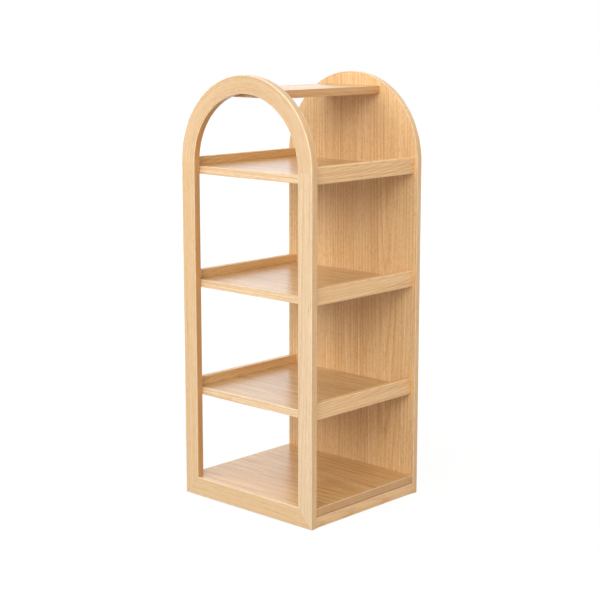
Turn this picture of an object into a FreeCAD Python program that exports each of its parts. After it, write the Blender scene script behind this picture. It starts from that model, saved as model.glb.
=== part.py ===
import FreeCAD, Part
import math
import os

Vector = FreeCAD.Vector

# An arched bookcase tower in oak. An open arched face frame stands in front and a solid
# arch-topped panel behind. Boards run from one to the other and leave both sides open.
# All lengths are in millimetres. X is the width, the front faces -Y, and Z = 0 is the floor.

# Overall size
width = 490
depth = 450
height = 1200

# Front face frame
frame_thickness = 22
stile_width = 50
bottom_rail_height = 54
frame_edge_radius = 2.5

# Back panel with its solid edge band
panel_thickness = 18
panel_band_thickness = 3
panel_edge_radius = 2

# Shelves: the clear heights between one board and the next, from the bottom up.
# At another height of the tower the four bays stretch alike to fill it.
board_thickness = 22
lower_bay_height = 240
middle_bay_height = 288
upper_bay_height = 296
top_bay_height = 194
board_band_thickness = 2
board_edge_radius = 1.2

# Lips along both sides of each shelf
lip_thickness = 18
lip_height = 46
lip_inset = 12
lip_edge_radius = 2

# Narrow top shelf behind the crown of the arch
top_shelf_width = 210
top_shelf_drop = 38

# Base under the bottom board
base_inset = 3
base_rail_thickness = 18
corner_block_leg = 56

# Glides under the corner blocks
glide_diameter = 22
glide_thickness = 5
glide_lift = 2
glide_screw_diameter = 4
glide_screw_length = 20
glide_screw_head_diameter = 8
glide_screw_head_height = 2.4

# Dowels
dowel_diameter = 8
dowel_length = 30
dowel_seat_depth = 9
small_dowel_diameter = 6
small_dowel_length = 22
small_dowel_seat_depth = 10
dowel_end_gap = 0.5

# Loose tenons in the frame's joints
tenon_thickness = 5
tenon_width = 22
tenon_length = 40
mitre_tenon_width = 16
mitre_tenon_length = 26

# Cam locks with their bolts and covers
cam_diameter = 15
cam_height = 16
cam_setback = 24
cam_edge_distance = 11
cam_slot_width = 2
cam_slot_depth = 2.5
bolt_thread_diameter = 8
bolt_thread_length = 9
bolt_shank_diameter = 5
bolt_head_diameter = 7
bolt_head_length = 3
bolt_bore_diameter = 8
cover_diameter = 17
cover_thickness = 1

# Clearance round a piece in its hole or bore
fit_gap = 0.1

# Places given as shares of the length that they follow
lip_dowel_shares = (0.18, 0.5, 0.82)
base_dowel_shares = (0.2, 0.5, 0.8)
top_cam_share = 0.57
top_dowel_share = 0.86
bottom_cam_share = 0.4
bottom_dowel_share = 0.68
corner_glide_share = 0.3
cam_slot_length_share = 0.7

# Planes and levels that follow from the sizes
half_width = width / 2
frame_front = -depth / 2
frame_back = frame_front + frame_thickness
panel_back = depth / 2
panel_front = panel_back - panel_thickness
bay_depth = panel_front - frame_back
inner_half_width = half_width - stile_width
spring_level = height - half_width
base_level = glide_lift
bottom_board_top = base_level + bottom_rail_height
bottom_board_level = bottom_board_top - board_thickness
top_shelf_level = height - top_shelf_drop - board_thickness
lip_outer_x = half_width - lip_inset
lip_inner_x = lip_outer_x - lip_thickness
lip_middle_x = lip_outer_x - lip_thickness / 2
tenon_middle_y = frame_front + (frame_thickness - dowel_seat_depth - dowel_end_gap) / 2
base_outer_x = half_width - base_inset
base_inner_x = base_outer_x - base_rail_thickness
top_half_width = top_shelf_width / 2

# Each shelf by name, with the clear height of the bay below it
SHELF_BAYS = {
    "lower": lower_bay_height,
    "middle": middle_bay_height,
    "upper": upper_bay_height,
}
SIDES = {"left": -1, "right": 1}
ENDS = {"front": 1, "back": -1}


def shelf_levels():
    """The level of each shelf board's underside, with the bays stretched to fill the height."""
    bay_room = top_shelf_level - bottom_board_top - len(SHELF_BAYS) * board_thickness
    stretch = bay_room / (sum(SHELF_BAYS.values()) + top_bay_height)
    levels = {}
    board_top = bottom_board_top
    for name, bay_height in SHELF_BAYS.items():
        levels[name] = board_top + bay_height * stretch
        board_top = levels[name] + board_thickness
    return levels


SHELF_LEVELS = shelf_levels()


def save(name, shape):
    """Write one named piece, or one group of like pieces, to its STEP file."""
    shape.exportStep("parts/" + name + ".step")
    print(name, len(shape.Solids), "solid(s)", round(shape.Volume), "mm3")


def block(x_from, x_to, y_from, y_to, z_from, z_to):
    """A plain block between two corners, given in any order along X."""
    low_x = min(x_from, x_to)
    return Part.makeBox(abs(x_to - x_from), y_to - y_from, z_to - z_from, Vector(low_x, y_from, z_from))


def rod(diameter, length, start, direction):
    """A round rod from a start point along a direction."""
    return Part.makeCylinder(diameter / 2, length, start, direction)


def arched_solid(half, bottom, top_centre, y_from, y_to):
    """A slab whose outline is a rectangle below and a half circle above."""
    crown = Vector(0, y_from, top_centre + half)
    low_left = Vector(-half, y_from, bottom)
    low_right = Vector(half, y_from, bottom)
    spring_left = Vector(-half, y_from, top_centre)
    spring_right = Vector(half, y_from, top_centre)
    edges = [
        Part.makeLine(low_left, low_right),
        Part.makeLine(low_right, spring_right),
        Part.Arc(spring_right, crown, spring_left).toShape(),
        Part.makeLine(spring_left, low_left),
    ]
    face = Part.Face(Part.Wire(edges))
    return face.extrude(Vector(0, y_to - y_from, 0))


def is_flat_in_y(edge):
    """True for an edge that lies in a plane across the depth, as a face's outline does."""
    return edge.BoundBox.YLength < fit_gap


def long_edges(solid, wanted):
    """The edges along Y whose middle the test accepts, called with x and z."""
    chosen = []
    for edge in solid.Edges:
        middle = edge.BoundBox.Center
        runs_along_y = edge.BoundBox.XLength < fit_gap and edge.BoundBox.ZLength < fit_gap
        if runs_along_y and wanted(middle.x, middle.z):
            chosen.append(edge)
    return chosen


def prism(points, y_from, y_to):
    """A prism along Y over an outline of (x, z) points."""
    corners = [Vector(x, y_from, z) for x, z in points]
    wire = Part.makePolygon(corners + [corners[0]])
    return Part.Face(wire).extrude(Vector(0, y_to - y_from, 0))


def tenon(thickness, breadth, length):
    """A loose tenon with round narrow edges, centred on the origin, its length along Z."""
    flat = breadth - thickness
    body = Part.makeBox(flat, thickness, length, Vector(-flat / 2, -thickness / 2, -length / 2))
    for side in SIDES.values():
        start = Vector(side * flat / 2, 0, -length / 2)
        body = body.fuse(rod(thickness, length, start, Vector(0, 0, 1)))
    return body.removeSplitter()


def placed_tenons(x, z, tilt, breadth, length, gap):
    """The left and right tenon of one joint, or their mortises when a gap is given."""
    made = []
    for side in SIDES.values():
        piece = tenon(tenon_thickness + 2 * gap, breadth + 2 * gap, length + 2 * gap)
        piece.rotate(Vector(0, 0, 0), Vector(0, 1, 0), side * tilt)
        piece.translate(Vector(side * x, tenon_middle_y, z))
        made.append(piece)
    return made


def cut_all(shape, tools):
    """The shape with every tool cut out of it."""
    if not tools:
        return shape
    return shape.cut(Part.makeCompound(tools))


def end_plane(end):
    """The Y of the face that a board meets at its front or back end."""
    return frame_back if end > 0 else panel_front


# Each board is fastened at both ends, at the same places left and right.
# A fastening is given by its distance from the middle and by the level of its axis.
def cam_places():
    """Distance from the middle and level of the underside for each cam lock."""
    places = []
    for level in SHELF_LEVELS.values():
        places.append((lip_inner_x - cam_edge_distance, level))
    places.append((top_half_width * top_cam_share, top_shelf_level))
    places.append((base_inner_x * bottom_cam_share, bottom_board_level))
    return places


def dowel_places():
    """Distance from the middle and level of the axis for each end dowel."""
    places = []
    for level in SHELF_LEVELS.values():
        places.append((lip_middle_x, level + board_thickness / 2))
    places.append((top_half_width * top_dowel_share, top_shelf_level + board_thickness / 2))
    places.append((base_inner_x * bottom_dowel_share, bottom_board_level + board_thickness / 2))
    return places


def at_four_corners(places, make):
    """Call make for each place at the left and right and at both ends."""
    made = []
    for x, z in places:
        for side in SIDES.values():
            for end in ENDS.values():
                made.append(make(side * x, end_plane(end), z, end))
    return made


def end_dowel(x, y, z, end):
    """A dowel that is seated in the frame or panel and reaches into a board's end."""
    return rod(dowel_diameter, dowel_length, Vector(x, y - end * dowel_seat_depth, z), Vector(0, end, 0))


def end_dowel_hole(x, y, z, end):
    """The hole for an end dowel, with its clearance."""
    start = y - end * (dowel_seat_depth + dowel_end_gap)
    length = dowel_length + 2 * dowel_end_gap
    return rod(dowel_diameter + 2 * fit_gap, length, Vector(x, start, z), Vector(0, end, 0))


def cam_lock(x, y, z, end):
    """A cam housing with a crossed driver slot below and a pocket for the bolt's head."""
    centre_y = y + end * cam_setback
    body = rod(cam_diameter, cam_height, Vector(x, centre_y, z), Vector(0, 0, 1))
    slot_length = cam_diameter * cam_slot_length_share
    for across, along in ((slot_length, cam_slot_width), (cam_slot_width, slot_length)):
        corner = Vector(x - across / 2, centre_y - along / 2, z)
        body = body.cut(Part.makeBox(across, along, cam_slot_depth, corner))
    pocket_start = Vector(x, y, z + board_thickness / 2)
    pocket = rod(bolt_bore_diameter, cam_setback, pocket_start, Vector(0, end, 0))
    return body.cut(pocket)


def cam_bore(x, y, z, end):
    """The bore for a cam housing in the underside of a board."""
    centre_y = y + end * cam_setback
    start = Vector(x, centre_y, z)
    return rod(cam_diameter + 2 * fit_gap, cam_height + fit_gap, start, Vector(0, 0, 1))


def cam_bolt(x, y, z, end):
    """A bolt screwed into the frame or panel, its head held in the cam."""
    axis = Vector(0, end, 0)
    level = z + board_thickness / 2
    thread = rod(bolt_thread_diameter, bolt_thread_length, Vector(x, y - end * bolt_thread_length, level), axis)
    shank = rod(bolt_shank_diameter, cam_setback - bolt_head_length, Vector(x, y, level), axis)
    head_start = Vector(x, y + end * (cam_setback - 2 * bolt_head_length), level)
    head = rod(bolt_head_diameter, bolt_head_length, head_start, axis)
    return thread.fuse(shank).fuse(head).removeSplitter()


def bolt_seat(x, y, z, end):
    """The threaded hole for a bolt in the frame or panel."""
    level = z + board_thickness / 2
    start = Vector(x, y - end * bolt_thread_length, level)
    return rod(bolt_thread_diameter, bolt_thread_length, start, Vector(0, end, 0))


def bolt_bore(x, y, z, end):
    """The bore in a board's end through which a bolt reaches its cam."""
    start = Vector(x, y, z + board_thickness / 2)
    return rod(bolt_bore_diameter, cam_setback, start, Vector(0, end, 0))


def cam_cover(x, y, z, end):
    """A thin cover disc stuck over a cam under a board."""
    start = Vector(x, y + end * cam_setback, z - cover_thickness)
    return rod(cover_diameter, cover_thickness, start, Vector(0, 0, 1))


def side_dowel_rows(levels, x_from, shares, axis):
    """Where small dowels start and point, in rows along the depth, left and right."""
    rows = []
    for level in levels:
        for side in SIDES.values():
            for share in shares:
                start = Vector(side * x_from, frame_back + share * bay_depth, level)
                rows.append((start, Vector(side * axis.x, 0, axis.z)))
    return rows


def small_dowels(rows, gap):
    """The dowels of the rows, or their holes when a gap is given."""
    spare = dowel_end_gap if gap else 0
    made = []
    for start, direction in rows:
        length = small_dowel_length + 2 * spare
        made.append(rod(small_dowel_diameter + 2 * gap, length, start - direction * spare, direction))
    return made


def lip_dowel_rows():
    """Dowels across the joint between each shelf board and its lips."""
    levels = [level + board_thickness / 2 for level in SHELF_LEVELS.values()]
    start_x = lip_inner_x + small_dowel_seat_depth - small_dowel_length
    return side_dowel_rows(levels, start_x, lip_dowel_shares, Vector(1, 0, 0))


def base_dowel_rows():
    """Upright dowels between the base rails and the bottom board."""
    start_z = bottom_board_level + small_dowel_seat_depth - small_dowel_length
    middle_x = (base_outer_x + base_inner_x) / 2
    return side_dowel_rows([start_z], middle_x, base_dowel_shares, Vector(0, 0, 1))


def corner_points(side, end):
    """The two walls that meet at a base corner: its X, its Y and the way inwards."""
    return side * base_inner_x, end_plane(end), -side, end


def corner_block(side, end):
    """A triangular block glued into a corner of the base."""
    x, y, inward_x, inward_y = corner_points(side, end)
    corners = [
        Vector(x, y, base_level),
        Vector(x + inward_x * corner_block_leg, y, base_level),
        Vector(x, y + inward_y * corner_block_leg, base_level),
    ]
    face = Part.Face(Part.makePolygon(corners + [corners[0]]))
    return face.extrude(Vector(0, 0, bottom_board_level - base_level))


def glide_centre(side, end):
    """The middle of a glide on the floor."""
    x, y, inward_x, inward_y = corner_points(side, end)
    offset = corner_block_leg * corner_glide_share
    return Vector(x + inward_x * offset, y + inward_y * offset, 0)


def glide(side, end):
    """A round glide, let into its block, with an eased rim and a screw hole."""
    body = rod(glide_diameter, glide_thickness, glide_centre(side, end), Vector(0, 0, 1))
    rim = [edge for edge in body.Edges if edge.BoundBox.ZMax < fit_gap]
    body = body.makeChamfer(glide_lift / 2, rim)
    return body.cut(glide_screw(side, end, fit_gap))


def glide_screw(side, end, gap):
    """The countersunk screw that holds a glide, or its hole when a gap is given."""
    centre = glide_centre(side, end)
    up = Vector(0, 0, 1)
    head_bottom = centre + up * (glide_lift / 2 - gap)
    head_radius = glide_screw_head_diameter / 2 + gap
    shank_radius = glide_screw_diameter / 2 + gap
    head = Part.makeCone(head_radius, shank_radius, glide_screw_head_height + gap, head_bottom, up)
    shank = Part.makeCylinder(shank_radius, glide_screw_length + gap, head_bottom, up)
    screw = head.fuse(shank).removeSplitter()
    if gap:
        recess = Part.makeCylinder(head_radius, glide_lift / 2, centre, up)
        screw = screw.fuse(recess)
    return screw


def mitre_wedge(side, keeps_stile):
    """The waste beyond the mitre line at one bottom corner of the frame."""
    outer_x = side * (half_width + stile_width)
    inner_x = side * (inner_half_width - stile_width)
    low_z = base_level - bottom_rail_height
    high_z = bottom_board_top + bottom_rail_height
    waste_corner = (inner_x, low_z) if keeps_stile else (outer_x, high_z)
    outline = [(outer_x, low_z), (inner_x, high_z), waste_corner]
    return prism(outline, frame_front - frame_thickness, frame_back + frame_thickness)


def eased_bar(bar, is_long):
    """A straight bar of the frame with its four long edges eased."""
    return bar.makeFillet(frame_edge_radius, [edge for edge in bar.Edges if is_long(edge.BoundBox)])


def build_front_frame(end_holes):
    """The face frame: an arch, two stiles and a rail that is mitred to them."""
    corner_x = (half_width + inner_half_width) / 2
    corner_z = (base_level + bottom_board_top) / 2
    mitre_tilt = math.degrees(math.atan2(stile_width, bottom_rail_height)) - 90
    arch_joint = (corner_x, spring_level, 0, tenon_width, tenon_length)
    mitre_joint = (corner_x, corner_z, mitre_tilt, mitre_tenon_width, mitre_tenon_length)
    save("arch_loose_tenons", Part.makeCompound(placed_tenons(*arch_joint, 0)))
    save("mitre_loose_tenons", Part.makeCompound(placed_tenons(*mitre_joint, 0)))
    holes = end_holes + placed_tenons(*arch_joint, fit_gap) + placed_tenons(*mitre_joint, fit_gap)

    centre = Vector(0, frame_front, spring_level)
    arch = Part.makeCylinder(half_width, frame_thickness, centre, Vector(0, 1, 0))
    arch = arch.cut(Part.makeCylinder(inner_half_width, frame_thickness, centre, Vector(0, 1, 0)))
    arch = arch.common(block(-half_width, half_width, frame_front, frame_back, spring_level, height))
    curved = [edge for edge in arch.Edges if is_flat_in_y(edge) and edge.BoundBox.ZLength > stile_width]
    save("front_arch", cut_all(arch.makeFillet(frame_edge_radius, curved), holes))

    rail = block(-half_width, half_width, frame_front, frame_back, base_level, bottom_board_top)
    rail = eased_bar(rail, lambda box: box.XLength > width - fit_gap)
    for side in SIDES.values():
        rail = rail.cut(mitre_wedge(side, False))
    save("front_bottom_rail", cut_all(rail, holes))

    for name, side in SIDES.items():
        stile = block(
            side * inner_half_width, side * half_width, frame_front, frame_back, base_level, spring_level
        )
        stile = eased_bar(stile, lambda box: box.ZLength > bottom_rail_height)
        save("front_stile_" + name, cut_all(stile.cut(mitre_wedge(side, True)), holes))


def build_back_panel(end_holes):
    """The back panel's board and the solid band bent round its outline."""
    whole = arched_solid(half_width, base_level, spring_level, panel_front, panel_back)
    outline = []
    for edge in whole.Edges:
        if is_flat_in_y(edge) and edge.BoundBox.ZMax > spring_level - fit_gap:
            outline.append(edge)
    whole = whole.makeFillet(panel_edge_radius, outline)
    core_half = half_width - panel_band_thickness
    core = arched_solid(core_half, base_level, spring_level, panel_front, panel_back)
    save("panel_edge_band", whole.cut(core))
    save("back_panel", cut_all(core, end_holes))


def build_shelf(name, level, holes):
    """One shelf: its board, the band on its front edge and the lips on its sides."""
    top = level + board_thickness
    whole = block(-lip_inner_x, lip_inner_x, frame_back, panel_front, level, top)
    front_edges = []
    for edge in whole.Edges:
        if edge.BoundBox.YMax < frame_back + fit_gap and edge.BoundBox.XLength > lip_inner_x:
            front_edges.append(edge)
    whole = cut_all(whole.makeFillet(board_edge_radius, front_edges), holes)
    band_back = frame_back + board_band_thickness
    band_room = block(-lip_inner_x, lip_inner_x, frame_back, band_back, level, top)
    save(name + "_shelf_front_band", whole.common(band_room))
    save(name + "_shelf_board", whole.cut(band_room))

    for side_name, side in SIDES.items():
        lip = block(side * lip_inner_x, side * lip_outer_x, frame_back, panel_front, level, level + lip_height)
        eased = long_edges(lip, lambda x, z: abs(x) > lip_middle_x or z > top)
        lip = cut_all(lip.makeFillet(lip_edge_radius, eased), holes)
        save(name + "_lip_" + side_name, lip)


def build_banded_board(name, half, level, holes):
    """A board with a band on each side edge, all long edges eased."""
    top = level + board_thickness
    whole = block(-half, half, frame_back, panel_front, level, top)
    whole = whole.makeFillet(board_edge_radius, long_edges(whole, lambda x, z: True))
    whole = cut_all(whole, holes)
    core_half = half - board_band_thickness
    for side_name, side in SIDES.items():
        room = block(side * core_half, side * half, frame_back, panel_front, level, top)
        save(name + "_band_" + side_name, whole.common(room))
    core_room = block(-core_half, core_half, frame_back, panel_front, level, top)
    save(name, whole.common(core_room))


def build_base(dowel_holes):
    """The base rails, the corner blocks and the glides with their screws."""
    for side_name, side in SIDES.items():
        rail = block(
            side * base_inner_x, side * base_outer_x, frame_back, panel_front, base_level, bottom_board_level
        )
        eased = long_edges(rail, lambda x, z: abs(x) > base_inner_x + fit_gap)
        rail = rail.makeFillet(board_edge_radius, eased)
        save("base_rail_" + side_name, cut_all(rail, dowel_holes))

    blocks = []
    glides = []
    screws = []
    for side in SIDES.values():
        for end in ENDS.values():
            seat = rod(
                glide_diameter + 2 * fit_gap, glide_thickness, glide_centre(side, end), Vector(0, 0, 1)
            )
            blocks.append(corner_block(side, end).cut(seat).cut(glide_screw(side, end, fit_gap)))
            glides.append(glide(side, end))
            screws.append(glide_screw(side, end, 0))
    save("base_corner_blocks", Part.makeCompound(blocks))
    save("glides", Part.makeCompound(glides))
    save("glide_screws", Part.makeCompound(screws))


def main():
    """Build every piece of the tower."""
    os.makedirs("parts", exist_ok=True)

    dowel_holes = at_four_corners(dowel_places(), end_dowel_hole)
    bolt_seats = at_four_corners(cam_places(), bolt_seat)
    board_holes = dowel_holes + at_four_corners(cam_places(), cam_bore)
    board_holes += at_four_corners(cam_places(), bolt_bore)
    lip_holes = small_dowels(lip_dowel_rows(), fit_gap)
    base_holes = small_dowels(base_dowel_rows(), fit_gap)

    build_front_frame(dowel_holes + bolt_seats)
    build_back_panel(dowel_holes + bolt_seats)
    for name, level in SHELF_LEVELS.items():
        build_shelf(name, level, board_holes + lip_holes)
    build_banded_board("top_shelf", top_half_width, top_shelf_level, board_holes)
    build_banded_board("bottom_board", base_outer_x, bottom_board_level, board_holes + base_holes)
    build_base(base_holes)

    visible_cams = [place for place in cam_places() if place[1] > bottom_board_level]
    save("end_dowels", Part.makeCompound(at_four_corners(dowel_places(), end_dowel)))
    save("lip_dowels", Part.makeCompound(small_dowels(lip_dowel_rows(), 0)))
    save("base_rail_dowels", Part.makeCompound(small_dowels(base_dowel_rows(), 0)))
    save("cam_locks", Part.makeCompound(at_four_corners(cam_places(), cam_lock)))
    save("cam_bolts", Part.makeCompound(at_four_corners(cam_places(), cam_bolt)))
    save("cam_covers", Part.makeCompound(at_four_corners(visible_cams, cam_cover)))


main()
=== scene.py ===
"""Dress the arched bookcase tower in satin oak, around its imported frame.

The wooden pieces in sight, all but the bottom board, are surfaces worked out with numpy:
an outline across the piece is carried along a path. Every point also keeps its place in
the wood, measured along the grain, across it and into the depth, so the yearly rings run
through a piece as they do through a sawn board, and follow the curve of the bent ones.
"""

import logging
import math
from collections.abc import Sequence
from dataclasses import dataclass, field, replace
from enum import Enum

import bpy
import numpy as np
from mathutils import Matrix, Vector

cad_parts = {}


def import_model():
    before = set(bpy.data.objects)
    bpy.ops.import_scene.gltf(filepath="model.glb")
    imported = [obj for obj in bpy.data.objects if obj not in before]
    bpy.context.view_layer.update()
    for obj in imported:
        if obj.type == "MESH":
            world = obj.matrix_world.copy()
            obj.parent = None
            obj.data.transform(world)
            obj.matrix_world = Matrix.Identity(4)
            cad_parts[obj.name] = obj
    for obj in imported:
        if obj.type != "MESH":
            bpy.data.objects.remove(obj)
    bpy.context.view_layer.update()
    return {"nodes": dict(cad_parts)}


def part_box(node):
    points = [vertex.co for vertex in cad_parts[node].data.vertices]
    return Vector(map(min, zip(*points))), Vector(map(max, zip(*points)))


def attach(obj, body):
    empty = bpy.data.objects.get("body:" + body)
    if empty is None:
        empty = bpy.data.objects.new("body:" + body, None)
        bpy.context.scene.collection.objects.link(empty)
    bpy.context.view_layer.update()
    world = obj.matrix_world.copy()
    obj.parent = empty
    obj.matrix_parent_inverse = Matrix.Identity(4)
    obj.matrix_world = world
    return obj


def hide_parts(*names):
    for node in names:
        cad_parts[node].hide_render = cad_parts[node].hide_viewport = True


LOG = logging.getLogger("bookcase_tower")

MM = 0.001
BODY = "root"
QUARTER = math.pi / 2

# Flats in the quarter circle of an eased corner, and in the half circle of an arch
CORNER_FLATS = 6
ARCH_FLATS = 128

# Attributes of a piece's mesh that its material reads
WOOD_PLACE = "wood_place"
PITH_PLACE = "pith_place"
EASED_EDGE = "eased_edge"

# Corners with a larger radius than this carry a painted highlight along their round
LEAST_EASED = 0.5 * MM

# Distance from the middle to the sides, over which a tone may change
TONE_REACH = 245 * MM

# Levels between which noise mostly lies
NOISE_LOW = 0.3
NOISE_HIGH = 0.7

# White of the background and of the floor's glow, as a shader takes it
WHITE = (1.0, 1.0, 1.0, 1.0)

Colour = tuple[float, float, float]
Point = tuple[float, float, float]
Socket = bpy.types.NodeSocket
Number = float | Socket
Shade = Colour | Socket


class Side(Enum):
    """The two sides of the tower, with the sign of X on each."""

    LEFT = -1
    RIGHT = 1

    @property
    def word(self) -> str:
        """Return the side's name as the pieces carry it."""
        return self.name.lower()


class Axis(Enum):
    """The axis that a straight piece runs along, with the two axes of its outline."""

    X = (0, 1, 2)
    Y = (1, 2, 0)
    Z = (2, 0, 1)

    def unit(self, place: int) -> np.ndarray:
        """Return the unit vector of the run (0) or of the outline's a (1) or b (2)."""
        return np.eye(3)[self.value[place]]


class Grain(Enum):
    """Which way the grain takes, as the order of (run, a, b) in the wood's own place."""

    WITH_RUN = (0, 1, 2)
    WITH_A = (1, 2, 0)
    WITH_B = (2, 0, 1)


@dataclass(frozen=True)
class Cut:
    """Where in the log a piece was sawn.

    Attributes:
        start: Place along the log, far apart for pieces from different logs, in metres.
        pith_across: Distance of the pith across the piece, in metres.
        pith_deep: Distance of the pith below the piece's middle, in metres.
        lean: Rise of the pith for each metre along the grain, which gives the arches
            of a flat-sawn face.
    """

    start: float
    pith_across: float = 0.0
    pith_deep: float = 40 * MM
    lean: float = 0.03

    def place(self, run: np.ndarray, across: np.ndarray, deep: np.ndarray) -> np.ndarray:
        """Return one (along, across, deep) row for each point, for what lies along the fibres.

        Args:
            run: Distance along the grain.
            across: Distance across the grain, from the piece's middle.
            deep: Distance into the depth, from the piece's middle.

        Returns:
            The rows, with the run moved to the piece's own place along the log.
        """
        return np.stack([run + self.start, across, deep], axis=-1)

    def from_pith(self, run: np.ndarray, across: np.ndarray, deep: np.ndarray) -> np.ndarray:
        """Return one (0, across, deep) row for each point, measured from the leaning pith."""
        return np.stack(
            [np.zeros_like(run), across + self.pith_across, deep + self.pith_deep + self.lean * run], axis=-1
        )


@dataclass(frozen=True)
class Outline:
    """A closed outline across a piece, run through counter-clockwise.

    Attributes:
        points: One (a, b) row for each point, in metres.
        arrive: Angle of the outward normal on the side that ends at each point.
        leave: Angle of the outward normal on the side that starts at each point.
        eased: 1 in the middle of a rounded corner, falling to 0 where it meets the flats; it masks the
            painted edge highlight.
    """

    points: np.ndarray
    arrive: np.ndarray
    leave: np.ndarray
    eased: np.ndarray


def rectangle(low: Sequence[float], high: Sequence[float], radii: Sequence[float]) -> Outline:
    """Work out a rectangle whose corners are quarter circles.

    A corner's points are centre + radius * (cos t, sin t), with t over a quarter turn.

    Args:
        low: Lowest a and b.
        high: Highest a and b.
        radii: Corner radii at (low a, low b), (high a, low b), (high a, high b) and
            (low a, high b).

    Returns:
        The outline.
    """
    points, turns, eased = [], [], []
    for corner, radius in enumerate(radii):
        begin = math.pi + corner * QUARTER
        centre_a = high[0] - radius if corner in (1, 2) else low[0] + radius
        centre_b = high[1] - radius if corner in (2, 3) else low[1] + radius
        turn = begin + np.linspace(0, QUARTER, CORNER_FLATS + 1)
        a, b = centre_a + radius * np.cos(turn), centre_b + radius * np.sin(turn)
        points.append(np.stack([a, b], axis=-1))
        turns.append(turn)
        eased.append(np.sin(2 * (turn - begin)) if radius > LEAST_EASED else np.zeros_like(turn))
    normals = np.concatenate(turns)
    return Outline(np.concatenate(points), normals, normals, np.concatenate(eased))


def grooved(
    low: Sequence[float], high: Sequence[float], at_high_b: bool, height: float, depth: float
) -> Outline:
    """Work out a rectangle with a square groove cut from one corner at its highest a.

    Each row of the table is a corner's a and b, and the angles of the outward normals
    on the sides before and after it.

    Args:
        low: Lowest a and b.
        high: Highest a and b.
        at_high_b: Whether the groove lies at the highest b, or at the lowest.
        height: How far the groove reaches along a.
        depth: How far it reaches along b.

    Returns:
        The outline.
    """
    up, out, down, back = 0.0, QUARTER, math.pi, 3 * QUARTER
    step = high[0] - height
    if at_high_b:
        corners = (
            (low[0], low[1], down, back),
            (high[0], low[1], back, up),
            (high[0], high[1] - depth, up, out),
            (step, high[1] - depth, out, up),
            (step, high[1], up, out),
            (low[0], high[1], out, down),
        )
    else:
        corners = (
            (low[0], low[1], down, back),
            (step, low[1], back, up),
            (step, low[1] + depth, up, back),
            (high[0], low[1] + depth, back, up),
            (high[0], high[1], up, out),
            (low[0], high[1], out, down),
        )
    table = np.array(corners)
    return Outline(table[:, :2], table[:, 2], table[:, 3], np.zeros(len(corners)))


def arch(half: float, foot: float, spring: float) -> Outline:
    """Work out a rectangle with a half circle on top, with a upwards and b to the right.

    The half circle's points are (spring + half * cos t, half * sin t), with t from a
    quarter turn on the left to a quarter turn on the right.

    Args:
        half: Half the width, which is the half circle's radius.
        foot: Level of the straight foot.
        spring: Level of the half circle's centre.

    Returns:
        The outline.
    """
    turn = np.linspace(-QUARTER, QUARTER, ARCH_FLATS + 1)
    arc = np.stack([spring + half * np.cos(turn), half * np.sin(turn)], axis=-1)
    feet = np.array([[foot, half], [foot, -half]])
    arrive = np.concatenate([turn, [QUARTER, math.pi]])
    leave = np.concatenate([turn, [math.pi, 3 * QUARTER]])
    return Outline(np.concatenate([arc, feet]), arrive, leave, np.zeros_like(arrive))


@dataclass(frozen=True)
class Path:
    """A path with its own axes at each station; a, b and run make a right-handed set.

    Attributes:
        origin: Where the outline's zero lies, one row for each station.
        a: The outline's first axis.
        b: The outline's second axis.
        run: The way along the path.
        length: Distance along the path.
    """

    origin: np.ndarray
    a: np.ndarray
    b: np.ndarray
    run: np.ndarray
    length: np.ndarray


def with_ends(stations: np.ndarray, relief: float) -> np.ndarray:
    """Add a station a little way in from each end, where the end's fine bevel stops."""
    ends = [stations[0] + relief, stations[-1] - relief]
    return np.sort(np.concatenate([stations, ends]))


def straight_path(axis: Axis, start: float, end: float, relief: float) -> Path:
    """Lay a path along an axis through the origin, whose points are s * run.

    Args:
        axis: The axis, which also gives the outline's a and b.
        start: Where along the axis the path starts.
        end: Where it ends.
        relief: Length of the fine bevel at each end.

    Returns:
        The path.
    """
    length = with_ends(np.array([start, end]), relief)
    rows = np.ones((length.size, 1))
    run = rows * axis.unit(0)
    return Path(length[:, None] * run, rows * axis.unit(1), rows * axis.unit(2), run, length)


def bent_path(length: np.ndarray, turn: np.ndarray, level: np.ndarray) -> Path:
    """Lay a path that bends in the plane Y = 0, about points on the axis X = 0.

    At angle t the outline's a points outwards as (cos t, 0, sin t), b points along Y,
    and the run is (-sin t, 0, cos t).

    Args:
        length: Distance along the path, for each station.
        turn: Angle t, for each station.
        level: Level of the outline's zero, for each station.

    Returns:
        The path.
    """
    nil = np.zeros_like(turn)
    origin = np.stack([nil, nil, level], axis=-1)
    outwards = np.stack([np.cos(turn), nil, np.sin(turn)], axis=-1)
    run = np.stack([-np.sin(turn), nil, np.cos(turn)], axis=-1)
    return Path(origin, outwards, np.ones((turn.size, 1)) * Axis.Y.unit(0), run, length)


def arc_path(centre_z: float, middle_radius: float, relief: float) -> Path:
    """Lay a path over a half circle, from the right foot to the left.

    The length is the middle radius times the angle.

    Args:
        centre_z: Level of the half circle's centre.
        middle_radius: Radius on which the length is measured.
        relief: Length of the fine bevel at each end.

    Returns:
        The path, whose origin stays at the centre.
    """
    length = with_ends(np.linspace(0, math.pi * middle_radius, ARCH_FLATS + 1), relief)
    return bent_path(length, length / middle_radius, np.full_like(length, centre_z))


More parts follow.
